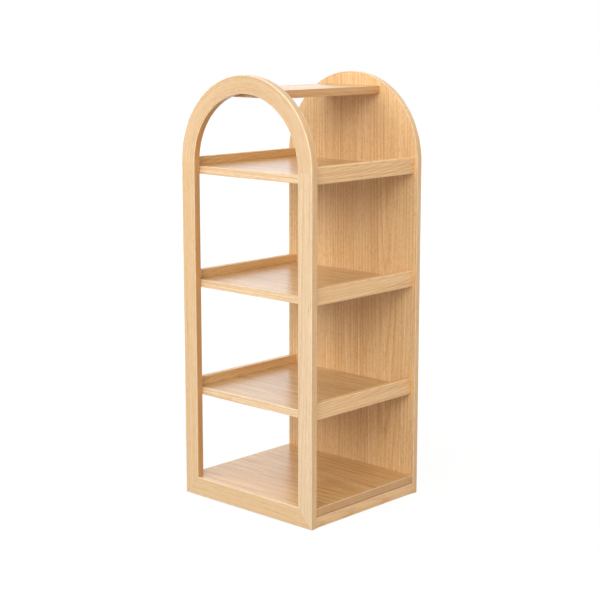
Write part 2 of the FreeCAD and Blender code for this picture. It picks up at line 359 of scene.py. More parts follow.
def arched_path(radius: float, foot: float, spring: float, relief: float) -> Path:
    """Lay a path up the right side, over the half circle and down the left side.

    With s the distance from the right foot and h the height of a side, the angle is
    t = (s - h) / radius held between 0 and a half turn. The point stands at
    radius * (cos t, sin t) over the spring, lowered by what s still lacks of h, or
    by what it has past h and the half circle.

    Args:
        radius: Radius of the half circle, and distance of the sides from the middle.
        foot: Level of both ends.
        spring: Level of the half circle's centre.
        relief: Length of the fine bevel at each end.

    Returns:
        The path.
    """
    side = spring - foot
    over = side + math.pi * radius
    stations = np.concatenate([[0], np.linspace(side, over, ARCH_FLATS + 1), [over + side]])
    length = with_ends(stations, relief)
    turn = np.clip((length - side) / radius, 0, math.pi)
    lowered = np.maximum(side - length, 0) + np.maximum(length - over, 0)
    return bent_path(length, turn, spring - lowered)


@dataclass(frozen=True)
class Sweep:
    """A closed surface: an outline carried along a path.

    The point of station i and outline point j is
    origin[i] + a[j] * A[i] + b[j] * B[i] + slant[i] * (q[j] - slant_zero) * run[i],
    where q is a or b, whichever the ends lean with.

    Attributes:
        outline: The outline across the piece.
        path: The path along it.
        cut: Where in the log the piece was sawn.
        grain: Which way the grain runs.
        slants: How far the start and the end lean along the run, for each metre that
            a point lies from slant_zero, as on a mitre.
        slant_zero: Where a slanted end stands at its nominal place.
        slant_place: 0 where the ends lean with a, 1 where they lean with b.
        relief: Size of the fine bevel round both ends.
    """

    outline: Outline
    path: Path
    cut: Cut
    grain: Grain = Grain.WITH_RUN
    slants: tuple[float, float] = (0.0, 0.0)
    slant_zero: float = 0.0
    slant_place: int = 0
    relief: float = 0.25 * MM

    def _shift(self) -> np.ndarray:
        """Work out how far each point moves along the run.

        The slant changes evenly with the length, from the start's to the end's.

        Returns:
            An array of (station, outline point), in metres.
        """
        share = (self.path.length - self.path.length[0]) / np.ptp(self.path.length)
        slant = self.slants[0] + share * (self.slants[1] - self.slants[0])
        return slant[:, None] * (self.outline.points[:, self.slant_place] - self.slant_zero)[None, :]

    def _directions(self, angle: np.ndarray) -> np.ndarray:
        """Return the outward normals cos(angle) * A + sin(angle) * B at every station."""
        return (
            np.cos(angle)[None, :, None] * self.path.a[:, None, :]
            + np.sin(angle)[None, :, None] * self.path.b[:, None, :]
        )

    def points(self) -> np.ndarray:
        """Work out the grid of points, with both ends drawn in by the fine bevel.

        Where two sides with normals n and m meet, drawing both in by the relief moves the
        point by relief * (n + m) / (1 + n . m).

        Returns:
            An array of (station, outline point, xyz).
        """
        outline, path = self.outline, self.path
        a, b = outline.points[:, 0], outline.points[:, 1]
        grid = (
            path.origin[:, None, :]
            + a[None, :, None] * path.a[:, None, :]
            + b[None, :, None] * path.b[:, None, :]
            + self._shift()[:, :, None] * path.run[:, None, :]
        )
        arrive, leave = self._directions(outline.arrive), self._directions(outline.leave)
        outwards = (arrive + leave) / (1 + np.sum(arrive * leave, axis=-1, keepdims=True))
        grid[[0, -1]] -= self.relief * outwards[[0, -1]]
        return grid

    def wood_places(self) -> tuple[np.ndarray, np.ndarray]:
        """Work out where in the wood every point lies.

        The run, a and b are measured from the piece's middle, in the order of the grain.

        Returns:
            The places in the wood and the places from the pith, each an array of
            (station, outline point, along-across-deep).
        """
        a, b = self.outline.points[:, 0], self.outline.points[:, 1]
        run = self.path.length[:, None] + self._shift()
        shape = run.shape
        own = (
            run - self.path.length.mean(),
            np.broadcast_to(a - (a.min() + a.max()) / 2, shape),
            np.broadcast_to(b - (b.min() + b.max()) / 2, shape),
        )
        along, across, deep = (own[place] for place in self.grain.value)
        return self.cut.place(along, across, deep), self.cut.from_pith(along, across, deep)

    def side_normals(self) -> np.ndarray:
        """Work out the normals at the four corners of every face round the sides.

        On the fine bevels they lean half way to the end, which leaves a soft edge there.

        Returns:
            An array of (strip, face, corner, xyz), in the order of the faces' corners.
        """
        leave, arrive = self._directions(self.outline.leave), self._directions(self.outline.arrive)
        following = np.roll(arrive, -1, axis=1)
        corners = np.stack([leave[:-1], following[:-1], following[1:], leave[1:]], axis=2)
        tilt = np.zeros(corners.shape[0])
        tilt[0], tilt[-1] = -1, 1
        start, end = self.path.run[:-1], self.path.run[1:]
        run = np.stack([start, start, end, end], axis=1)
        corners = corners + tilt[:, None, None, None] * run[:, None, :, :]
        return corners / np.linalg.norm(corners, axis=-1, keepdims=True)

    def flat_map(self) -> np.ndarray:
        """Work out the UV map: the run, and the way round the outline, in metres.

        Returns:
            A (u, v) row for every face corner, in the order of the mesh's faces.
        """
        closed = np.concatenate([self.outline.points, self.outline.points[:1]])
        around = np.concatenate([[0], np.cumsum(np.linalg.norm(np.diff(closed, axis=0), axis=1))])
        u, v = np.meshgrid(self.path.length, around, indexing="ij")
        grid = np.stack([u, v], axis=-1)
        quads = np.stack([grid[:-1, :-1], grid[:-1, 1:], grid[1:, 1:], grid[1:, :-1]], axis=2)
        return np.concatenate([quads.reshape(-1, 2), self.outline.points[::-1], self.outline.points])

    def end_normal(self, last: bool) -> np.ndarray:
        """Work out the normal of one end's flat, run - slant * leaning axis, made one long.

        Args:
            last: Whether it is the end's flat, or the start's.

        Returns:
            The outward normal.
        """
        station = -1 if last else 0
        leaning = (self.path.a, self.path.b)[self.slant_place]
        normal = self.path.run[station] - self.slants[station] * leaning[station]
        normal = normal / np.linalg.norm(normal)
        return normal if last else -normal


def mesh_of(name: str, sweep: Sweep) -> bpy.types.Mesh:
    """Make a mesh from a sweep: a band of four-cornered faces and a flat at each end.

    Args:
        name: Name of the mesh.
        sweep: The surface.

    Returns:
        The mesh, closed, with its own normals, its UV map and its places in the wood.
    """
    grid = sweep.points()
    stations, around = grid.shape[:2]
    number = np.arange(stations * around).reshape(stations, around)
    following = np.roll(number, -1, axis=1)
    quads = np.stack([number[:-1], following[:-1], following[1:], number[1:]], axis=-1).reshape(-1, 4)
    caps = np.concatenate([number[0, ::-1], number[-1]])
    corners = np.concatenate([quads.ravel(), caps])
    totals = np.concatenate([np.full(len(quads), 4), [around, around]])

    mesh = bpy.data.meshes.new(name)
    mesh.vertices.add(grid.size // 3)
    mesh.vertices.foreach_set("co", grid.astype(np.float32).ravel())
    mesh.loops.add(corners.size)
    mesh.loops.foreach_set("vertex_index", corners.astype(np.int32))
    mesh.polygons.add(totals.size)
    mesh.polygons.foreach_set("loop_start", np.concatenate([[0], np.cumsum(totals)[:-1]]).astype(np.int32))
    mesh.polygons.foreach_set("loop_total", totals.astype(np.int32))
    mesh.update(calc_edges=True)

    for attribute_name, places in zip((WOOD_PLACE, PITH_PLACE), sweep.wood_places()):
        attribute = mesh.attributes.new(attribute_name, "FLOAT_VECTOR", "POINT")
        attribute.data.foreach_set("vector", places.astype(np.float32).ravel())
    eased = np.tile(sweep.outline.eased, stations)
    mesh.attributes.new(EASED_EDGE, "FLOAT", "POINT").data.foreach_set("value", eased.astype(np.float32))
    flat_map = mesh.uv_layers.new(name="along_the_run")
    flat_map.data.foreach_set("uv", sweep.flat_map().astype(np.float32).ravel())

    ends = [np.broadcast_to(sweep.end_normal(last), (around, 3)) for last in (False, True)]
    normals = np.concatenate([sweep.side_normals().reshape(-1, 3), *ends])
    mesh.normals_split_custom_set(normals.astype(np.float32))
    return mesh


def add_piece(name: str, sweep: Sweep, node: str, finish: bpy.types.Material) -> None:
    """Add one wooden piece in the place of its node, riding on the one body, and report it.

    Args:
        name: Name of the piece.
        sweep: Its surface.
        node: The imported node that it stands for.
        finish: Its material.
    """
    piece = bpy.data.objects.new(name, mesh_of(name, sweep))
    piece.data.materials.append(finish)
    bpy.context.scene.collection.objects.link(piece)
    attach(piece, BODY)
    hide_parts(node)
    LOG.info("%s stands for %s, %d faces", name, node, len(piece.data.polygons))


@dataclass(frozen=True)
class Noise:
    """Smooth noise through a material, and the levels between which it shows as marks.

    Attributes:
        scales: Patches a metre along the grain, across it and into the depth.
        low: Level of the noise where a mark begins to show.
        high: Level where the mark shows in full.
        detail: Number of finer layers.
        roughness: How strongly the finer layers show.
    """

    scales: Point
    low: float = NOISE_LOW
    high: float = NOISE_HIGH
    detail: float = 2.0
    roughness: float = 0.5


class NodeBench:
    """Short ways to add the nodes of one material and join them up."""

    def __init__(self, name: str) -> None:
        """Start a material with an empty node tree.

        Args:
            name: Name of the material.
        """
        self.material = bpy.data.materials.new(name)
        self.material.use_nodes = True
        self.tree = self.material.node_tree
        self.tree.nodes.clear()

    @classmethod
    def over(cls, tree: bpy.types.NodeTree) -> "NodeBench":
        """Start on a node tree that exists, such as the world's.

        Args:
            tree: The tree, which is emptied.

        Returns:
            The bench.
        """
        bench = cls.__new__(cls)
        bench.material = None
        bench.tree = tree
        tree.nodes.clear()
        return bench

    def add(self, kind: str, inputs: dict | None = None, **settings: object) -> bpy.types.Node:
        """Add a node, set its properties, and set or join its inputs.

        Args:
            kind: The node's type.
            inputs: Values, or output sockets to join, by input name or number.
            **settings: Properties of the node.

        Returns:
            The node.
        """
        node = self.tree.nodes.new(kind)
        for key, value in settings.items():
            setattr(node, key, value)
        for key, value in (inputs or {}).items():
            if isinstance(value, Socket):
                self.tree.links.new(value, node.inputs[key])
            else:
                node.inputs[key].default_value = value
        return node

    def coordinates(self) -> Socket:
        """Return the place on the object, in metres."""
        return self.add("ShaderNodeTexCoord").outputs["Object"]

    def parts(self, vector: Socket) -> bpy.types.bpy_prop_collection:
        """Return the three numbers of a vector, as sockets."""
        return self.add("ShaderNodeSeparateXYZ", {0: vector}).outputs

    def vector(self, x: Number, y: Number = 0.0, z: Number = 0.0) -> Socket:
        """Return three numbers as one vector."""
        return self.add("ShaderNodeCombineXYZ", {0: x, 1: y, 2: z}).outputs["Vector"]

    def math(self, operation: str, first: Number, second: Number = 0.0) -> Socket:
        """Return the result of a sum on two values or sockets."""
        return self.add("ShaderNodeMath", {0: first, 1: second}, operation=operation).outputs[0]

    def times(self, first: Number, second: Number) -> Socket:
        """Return the product of two values or sockets."""
        return self.math("MULTIPLY", first, second)

    def length(self, vector: Socket) -> Socket:
        """Return the length of a vector."""
        return self.add("ShaderNodeVectorMath", {0: vector}, operation="LENGTH").outputs["Value"]

    def stretched(self, place: Socket, scales: Point) -> Socket:
        """Return the place with each of its three numbers multiplied by its scale."""
        node = self.add("ShaderNodeVectorMath", {0: place, 1: scales}, operation="MULTIPLY")
        return node.outputs["Vector"]

    def noise(self, place: Socket, noise: Noise) -> Socket:
        """Return the level of a noise at a place, from 0 to 1.

        Args:
            place: The place, in metres.
            noise: The noise.

        Returns:
            The level.
        """
        inputs = {
            "Vector": self.stretched(place, noise.scales),
            "Scale": 1.0,
            "Detail": noise.detail,
            "Roughness": noise.roughness,
        }
        return self.add("ShaderNodeTexNoise", inputs).outputs["Fac"]

    def marks(self, place: Socket, noise: Noise, least: float = 0.0, most: float = 1.0) -> Socket:
        """Return how strongly a noise's marks show at a place, from least to most."""
        return self.span(self.noise(place, noise), noise.low, noise.high, least, most)

    def span(self, value: Number, low: float, high: float, to_low: float, to_high: float) -> Socket:
        """Return a value carried smoothly from one span to another and held at its ends."""
        inputs = {"Value": value, "From Min": low, "From Max": high, "To Min": to_low, "To Max": to_high}
        return self.add("ShaderNodeMapRange", inputs, interpolation_type="SMOOTHSTEP").outputs["Result"]

    def wavering(self, noise: Socket, levels: tuple[float, float]) -> Socket:
        """Return a value that wavers with a noise between two levels."""
        return self.span(noise, NOISE_LOW, NOISE_HIGH, *levels)

    def mix(self, amount: Number, first: Shade, second: Shade, blend: str = "MIX") -> Socket:
        """Blend two colours, through the node's sockets for colours, inputs 6 and 7 and output 2.

        Args:
            amount: Share of the second colour, from 0 to 1.
            first: The colour underneath.
            second: The colour that is laid over it.
            blend: The node's way of blending.

        Returns:
            The blended colour.
        """
        node = self.add("ShaderNodeMix", data_type="RGBA", blend_type=blend)
        share, under, over = node.inputs[0], node.inputs[6], node.inputs[7]
        for socket, value in ((share, amount), (under, first), (over, second)):
            if isinstance(value, Socket):
                self.tree.links.new(value, socket)
            else:
                socket.default_value = value if socket is share else (*value, 1.0)
        return node.outputs[2]

    def layer(self, colour: Shade, over: Colour, marks: Number, strength: float) -> Socket:
        """Return a colour with another laid over it where marks show, at a given strength."""
        return self.mix(self.times(marks, strength), colour, over)

    def ramp(self, value: Number, stops: Sequence[tuple[float, float]]) -> Socket:
        """Carry a value through stops, with straight lines between them.

        Args:
            value: The value, from 0 to 1.
            stops: A (value, level) pair for each stop.

        Returns:
            The level.
        """
        node = self.add("ShaderNodeValToRGB", {"Fac": value})
        elements = node.color_ramp.elements
        while len(elements) < len(stops):
            elements.new(0.5)
        for element, (place, level) in zip(elements, stops):
            element.position = place
            element.color = (level, level, level, 1.0)
        return node.outputs["Color"]

    def finish(self, shader_inputs: dict, height: Socket, depth: float) -> bpy.types.Material:
        """Close the material with a shader and a bump.

        Args:
            shader_inputs: Inputs of the Principled shader.
            height: The surface's relief.
            depth: Depth of the relief in metres.

        Returns:
            The material.
        """
        shader = self.add("ShaderNodeBsdfPrincipled", shader_inputs)
        bump = self.add("ShaderNodeBump", {"Height": height, "Distance": depth, "Strength": 1.0})
        self.tree.links.new(bump.outputs["Normal"], shader.inputs["Normal"])
        self.end(shader.outputs["BSDF"])
        return self.material

    def end(self, surface: Socket, kind: str = "ShaderNodeOutputMaterial") -> None:
        """Join a surface to the output of the tree."""
        self.add(kind, {"Surface": surface})


def linear(red: int, green: int, blue: int) -> Colour:
    """Turn a colour as a screen shows it, 0 to 255, into the shader's linear one.

    A share s of full is s / 12.92 up to 0.04045, and ((s + 0.055) / 1.055) ** 2.4 above.

    Args:
        red: Red on the screen.
        green: Green on the screen.
        blue: Blue on the screen.

    Returns:
        The linear colour.
    """
    screen = np.array([red, green, blue]) / 255
    shares = np.where(screen <= 0.04045, screen / 12.92, ((screen + 0.055) / 1.055) ** 2.4)
    return tuple(float(share) for share in shares)


# Marks in oak, from the broadest to the finest; the year lines show most in the patches
BROAD_STREAKS = Noise((0.6, 10.0, 10.0), detail=1.0)
PATCHES = Noise((0.9, 24.0, 24.0), 0.36, 0.64)
STREAKS = Noise((1.1, 60.0, 60.0), 0.36, 0.64)
PALE_LINES = Noise((1.4, 230.0, 215.0), 0.52, 0.68)
DARK_LINES = Noise((2.0, 290.0, 290.0), 0.5, 0.66)
DASHES = Noise((64.0, 410.0, 410.0), 0.5, 0.68, roughness=0.6)
PORES = Noise((26.0, 1150.0, 1150.0), 0.6, 0.7, detail=1.0)
FIBRES = Noise((16.0, 1500.0, 1500.0), 0.35, 0.75, roughness=0.65)

# What bends the year lines, and what makes some years wider than others
SWAY = Noise((1.2, 8.0, 8.0), detail=1.5)
RIPPLE = Noise((6.0, 80.0, 80.0))
UNEVEN_YEARS = Noise((110.0, 1.0, 1.0), detail=1.0)

# (Share of the year, strength) of the year line, which is darkest where two years meet,
# and of the pores, which show most in the early wood
YEAR_LINE = ((0.0, 1.0), (0.07, 0.8), (0.24, 0.25), (0.55, 0.04), (0.86, 0.12), (1.0, 0.95))
EARLY_WOOD = ((0.0, 1.0), (0.3, 0.75), (0.6, 0.2), (1.0, 0.45))

# How far a normal points to the side where the painted side shade starts, and where it is full
ASIDE = (0.5, 0.95)

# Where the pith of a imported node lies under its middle, and how it leans
NODE_PITH_DEPTH = 70 * MM
NODE_PITH_LEAN = 0.05

# A tone that leaves the wood as it is
NO_TONE = ((1.0, 1.0, 1.0),)


@dataclass(frozen=True)
class OakFinish:
    """Oak under clear satin lacquer.

    Attributes:
        name: Name of the material.
        bright: Colour of the fine pale lines and of the painted highlight on the eased edges.
        pale: Colour of the wood between the lines.
        tan: Colour of the streaks.
        brown: Colour of the year lines, the fine dark lines, the dashes and the fibres.
        pore: Colour inside the open pores.
        front_tones: What the wood is multiplied by, evenly spaced from the tower's left to
            its right where there are more than one.
        side_tones: Painted shade for faces that look to the side, along X, which take
            less or more light than the front, spaced as the front's tones. It comes on top of the front's
            tone.
        year_width: Width of a year's growth, in metres.
        year_unevenness: How far the years' widths vary, in metres.
        year_strength: How strongly the year lines show, from 0 to 1.
        patchiness: How far the year lines fade out in places, from 0 to 1.
        sway: How far the year lines stray from circles, in metres.
        ripple: How far they ripple, in metres.
        shortness: How much shorter the lines are than those of straight-grained wood.
        streak_strength: How strongly the streaks show, from 0 to 1.
        broad_strength: How strongly the broad streaks show, from 0 to 1.
        dark_lines: How strongly the fine dark lines show, from 0 to 1.
        pale_lines: How strongly the fine pale lines show, from 0 to 1.
        dashes: How strongly the short dashes along the grain show, from 0 to 1.
        fibre_strength: How strongly the fibres show, from 0 to 1.
        pore_strength: How strongly the pores show, from 0 to 1.
        edge_paleness: How strongly a painted highlight lightens the round of an eased edge, from 0 to 1.
        roughness: Lowest and highest roughness of the wood.
        pore_dullness: How much rougher the pores are.
        gloss: Specular level of the wood itself.
        fibre_height: Height of the fibres as a share of the pores' depth.
        relief: Depth of the pores, in metres.
        lacquer: How much of the surface the lacquer closes, from 0 to 1.
        lacquer_roughness: Roughness of the lacquer.
        lacquer_ior: Index of refraction of the lacquer.
    """

    name: str
    bright: Colour = linear(248, 225, 190)
    pale: Colour = linear(235, 203, 158)
    tan: Colour = linear(217, 177, 126)
    brown: Colour = linear(186, 127, 66)
    pore: Colour = linear(158, 103, 50)
    front_tones: tuple[Colour, ...] = NO_TONE
    side_tones: tuple[Colour, ...] = NO_TONE
    year_width: float = 6.5 * MM
    year_unevenness: float = 7 * MM
    year_strength: float = 0.6
    patchiness: float = 0.7
    sway: float = 16 * MM
    ripple: float = 1.2 * MM
    shortness: float = 1.0
    streak_strength: float = 0.35
    broad_strength: float = 0.3
    dark_lines: float = 0.4
    pale_lines: float = 0.5
    dashes: float = 0.3
    fibre_strength: float = 0.22
    pore_strength: float = 0.5
    edge_paleness: float = 0.5
    roughness: tuple[float, float] = (0.46, 0.55)
    pore_dullness: float = 0.18
    gloss: float = 0.15
    fibre_height: float = 0.25
    relief: float = 0.06 * MM
    lacquer: float = 0.85
    lacquer_roughness: float = 0.26
    lacquer_ior: float = 1.5

    def toned(self, name: str, tone: Colour, **changes: object) -> "OakFinish":
        """Return the same finish on wood of another tone.

        Args:
            name: Name of the new finish.
            tone: What the red, green and blue of its four wood colours are multiplied by.
            **changes: Other values that differ.

        Returns:
            The new finish.
        """
        colours = {
            colour: tuple(min(value * share, 1.0) for value, share in zip(getattr(self, colour), tone))
            for colour in ("bright", "pale", "tan", "brown")
        }
        return replace(self, name=name, **(colours | changes))

    def material(self, from_object: Axis | None = None) -> bpy.types.Material:
        """Build the material.

        Args:
            from_object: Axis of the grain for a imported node, which has no places in the
                wood of its own, or None to read them from the piece.

        Returns:
            The material.
        """
        bench = NodeBench(self.name)
        place, from_pith = self._places(bench, from_object)
        year = self._year(bench, place, from_pith)
        place = bench.stretched(place, (self.shortness, 1.0, 1.0))
        fibre = bench.noise(place, FIBRES)
        pore = bench.times(bench.marks(place, PORES), bench.ramp(year, EARLY_WOOD))
        dullness = bench.times(pore, self.pore_dullness)
        relief = bench.math("SUBTRACT", bench.times(fibre, self.fibre_height), pore)
        inputs = {
            "Base Color": self._colour(bench, place, year, fibre, pore),
            "Roughness": bench.math("ADD", dullness, bench.wavering(fibre, self.roughness)),
            "Specular IOR Level": self.gloss,
            "Coat Weight": self.lacquer,
            "Coat Roughness": self.lacquer_roughness,
            "Coat IOR": self.lacquer_ior,
        }
        return bench.finish(inputs, relief, self.relief)

    def _colour(self, bench: NodeBench, place: Socket, year: Socket, fibre: Socket, pore: Socket) -> Socket:
        """Lay the streaks, lines, dashes, fibres and pores over the pale wood, with painted shade on faces
        that look along X and a painted highlight on the eased edges.

        Args:
            bench: The material's nodes.
            place: The place in the wood.
            year: How far through its year the wood grew.
            fibre: The fibres' noise.
            pore: How strongly the pores show.

        Returns:
            The colour.
        """
        colour = bench.layer(self.pale, self.tan, bench.marks(place, STREAKS), self.streak_strength)
        colour = bench.layer(colour, self.tan, bench.marks(place, BROAD_STREAKS), self.broad_strength)
        colour = bench.layer(colour, self.bright, bench.marks(place, PALE_LINES), self.pale_lines)
        # Painted shade: faces that look along X are multiplied by the side shades
        sideways = bench.parts(bench.add("ShaderNodeNewGeometry").outputs["Normal"])["X"]
        aside = bench.span(bench.math("ABSOLUTE", sideways), *ASIDE, 0.0, 1.0)
        colour = bench.mix(1.0, colour, self._across(bench, self.front_tones), blend="MULTIPLY")
        colour = bench.mix(aside, colour, self._across(bench, self.side_tones), blend="MULTIPLY")
        # Painted highlight: the round of each eased edge is lightened towards the bright colour
        edge = bench.add("ShaderNodeAttribute", attribute_name=EASED_EDGE).outputs["Fac"]
        colour = bench.layer(colour, self.bright, edge, self.edge_paleness)
        patchy = bench.marks(place, PATCHES, least=1.0 - self.patchiness)
        line = bench.times(bench.ramp(year, YEAR_LINE), patchy)
        colour = bench.layer(colour, self.brown, line, self.year_strength)
        colour = bench.layer(colour, self.brown, bench.marks(place, DARK_LINES), self.dark_lines)
        colour = bench.layer(colour, self.brown, bench.marks(place, DASHES), self.dashes)
        shown = bench.span(fibre, FIBRES.low, FIBRES.high, 0.0, self.fibre_strength)
        colour = bench.mix(shown, colour, self.brown)
        return bench.layer(colour, self.pore, pore, self.pore_strength)

    def _across(self, bench: NodeBench, tones: tuple[Colour, ...]) -> Shade:
        """Run through tones from the tower's left to its right.

        Args:
            bench: The material's nodes.
            tones: The tones, evenly spaced.

        Returns:
            The tone at each place, or the only tone as it is.
        """
        colour = tones[0]
        if len(tones) == 1:
            return colour
        sideways = bench.parts(bench.coordinates())["X"]
        places = np.linspace(-TONE_REACH, TONE_REACH, len(tones)).tolist()
        for start, end, tone in zip(places, places[1:], tones[1:]):
            colour = bench.mix(bench.span(sideways, start, end, 0.0, 1.0), colour, tone)
        return colour

    def _year(self, bench: NodeBench, place: Socket, from_pith: Socket) -> Socket:
        """Work out how far through its year each point grew.

        The year lines are circles about the pith. The distance from it is swayed by slow
        noise and roughened by a ripple. Noise along that distance makes some years wide
        and others narrow. The year is the fraction of distance / year_width.

        Args:
            bench: The material's nodes.
            place: The place in the wood.
            from_pith: The place from the pith.

        Returns:
            The share of the year, from 0 to 1.
        """
        sway = bench.times(bench.math("SUBTRACT", bench.noise(place, SWAY), 0.5), self.sway)
        ripple = bench.times(bench.noise(place, RIPPLE), self.ripple)
        distance = bench.math("ADD", bench.math("ADD", bench.length(from_pith), sway), ripple)
        uneven = bench.times(bench.noise(bench.vector(distance), UNEVEN_YEARS), self.year_unevenness)
        years = bench.math("DIVIDE", bench.math("ADD", distance, uneven), self.year_width)
        return bench.math("FRACT", years)

    def _places(self, bench: NodeBench, from_object: Axis | None) -> tuple[Socket, Socket]:
        """Find the place in the wood and the place from the pith.

        Args:
            bench: The material's nodes.
            from_object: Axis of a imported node's grain, or None for a piece of its own.

        Returns:
            Both places, (along, across, deep) and (0, across, deep).
        """
        if from_object is None:
            place, from_pith = (
                bench.add("ShaderNodeAttribute", attribute_name=name).outputs["Vector"]
                for name in (WOOD_PLACE, PITH_PLACE)
            )
            return place, from_pith
        parts = bench.parts(bench.coordinates())
        along, across, deep = (parts[part] for part in from_object.value)
        lean = bench.times(along, NODE_PITH_LEAN)
        depth = bench.math("ADD", bench.math("ADD", deep, NODE_PITH_DEPTH), lean)
        return bench.vector(along, across, deep), bench.vector(0.0, across, depth)


@dataclass(frozen=True)
class PlainWoodFinish:
    """Plain unfinished wood of dowels, tenons and blocks, seen only when it comes apart.

    Attributes:
        name: Name of the material.
        pale: Colour of the wood.
        brown: Colour of the rings and the fibres.
        grain: The axis that the grain runs along.
        pitch: Distance between the rings, in metres.
        ring_strength: How strongly the rings show, from 0 to 1.
        ring: (Share of the pitch, strength) of a ring.
        sway: The noise that bends the rings.
        sway_reach: How far it bends them, in metres.
        fibres: The noise of the fibres.
        fibre_strength: How strongly the fibres show, from 0 to 1.
        roughness: Lowest and highest roughness.
        relief: Depth of the fibres, in metres.
    """

    name: str
    pale: Colour
    brown: Colour
    grain: Axis
    pitch: float = 1.8 * MM
    ring_strength: float = 0.5
    ring: tuple[tuple[float, float], ...] = ((0.0, 0.1), (0.7, 0.5), (0.9, 1.0), (1.0, 0.2))
    sway: Noise = Noise((4.0, 40.0, 40.0))
    sway_reach: float = 6 * MM
    fibres: Noise = Noise((40.0, 1800.0, 1800.0), low=0.35)
    fibre_strength: float = 0.3
    roughness: tuple[float, float] = (0.62, 0.76)
    relief: float = 0.05 * MM

    def material(self) -> bpy.types.Material:
        """Build the material: rings about a far pith, fine fibres and a dull surface.

        Returns:
            The material.
        """
        bench = NodeBench(self.name)
        parts = bench.parts(bench.coordinates())
        along, across, deep = (parts[part] for part in self.grain.value)
        place = bench.vector(along, across, deep)
        bent = bench.math("ADD", deep, bench.times(bench.noise(place, self.sway), self.sway_reach))
        ring = bench.ramp(bench.math("FRACT", bench.math("DIVIDE", bent, self.pitch)), self.ring)
        fibre = bench.noise(place, self.fibres)
        colour = bench.layer(self.pale, self.brown, ring, self.ring_strength)
        shown = bench.span(fibre, self.fibres.low, self.fibres.high, 0.0, self.fibre_strength)
        inputs = {
            "Base Color": bench.mix(shown, colour, self.brown),
            "Roughness": bench.wavering(fibre, self.roughness),
        }
        return bench.finish(inputs, fibre, self.relief)


@dataclass(frozen=True)
class CloudyFinish:
    """A surface with faint clouds of a second colour and a fine texture.

    Attributes:
        name: Name of the material.
        body: Its colour.
        cloud: Colour of the clouds.
        roughness: Lowest and highest roughness.
        clouds: The noise of the clouds.
        cloud_strength: How strongly the clouds show, from 0 to 1.
        texture: The noise of the fine texture.
        relief: Depth of the texture, in metres.
        metal: Whether it is bare metal.
    """

    name: str
    body: Colour
    cloud: Colour
    roughness: tuple[float, float]
    clouds: Noise
    cloud_strength: float
    texture: Noise
    relief: float
    metal: bool

    def material(self) -> bpy.types.Material:
        """Build the material.

        Returns:
            The material.
        """
        bench = NodeBench(self.name)
        place = bench.coordinates()
        texture = bench.noise(place, self.texture)
        clouds = bench.marks(place, self.clouds, most=self.cloud_strength)
        inputs = {
            "Base Color": bench.mix(clouds, self.body, self.cloud),
            "Roughness": bench.wavering(texture, self.roughness),
            "Metallic": float(self.metal),
        }
        return bench.finish(inputs, texture, self.relief)


def metal_finish(
    name: str, body: Colour, cloud: Colour, roughness: tuple[float, float], grain: float = 900.0
) -> CloudyFinish:
    """Return bare or plated metal, with cloudy plating and a fine cast or drawn grain.

    Args:
        name: Name of the material.
        body: Its colour.
        cloud: Colour of the duller clouds.
        roughness: Lowest and highest roughness.
        grain: Specks of the grain to a metre.

    Returns:
        The finish.
    """
    return CloudyFinish(
        name,
        body,
        cloud,
        roughness,
        clouds=Noise((160.0, 160.0, 160.0), detail=3.0),
        cloud_strength=1.0,
        texture=Noise((grain, grain, grain)),
        relief=0.03 * MM,
        metal=True,
    )


def plastic_finish(
    name: str, body: Colour, cloud: Colour, roughness: tuple[float, float]
) -> CloudyFinish:
    """Return moulded plastic, an even body with faint clouds and a fine moulded texture.

    Args:
        name: Name of the material.
        body: Its colour.
        cloud: Colour of the clouds.
        roughness: Lowest and highest roughness.

    Returns:
        The finish.
    """
    return CloudyFinish(
        name,
        body,
        cloud,
        roughness,
        clouds=Noise((70.0, 70.0, 70.0)),
        cloud_strength=0.5,
        texture=Noise((2600.0, 2600.0, 2600.0)),
        relief=0.02 * MM,
        metal=False,
    )


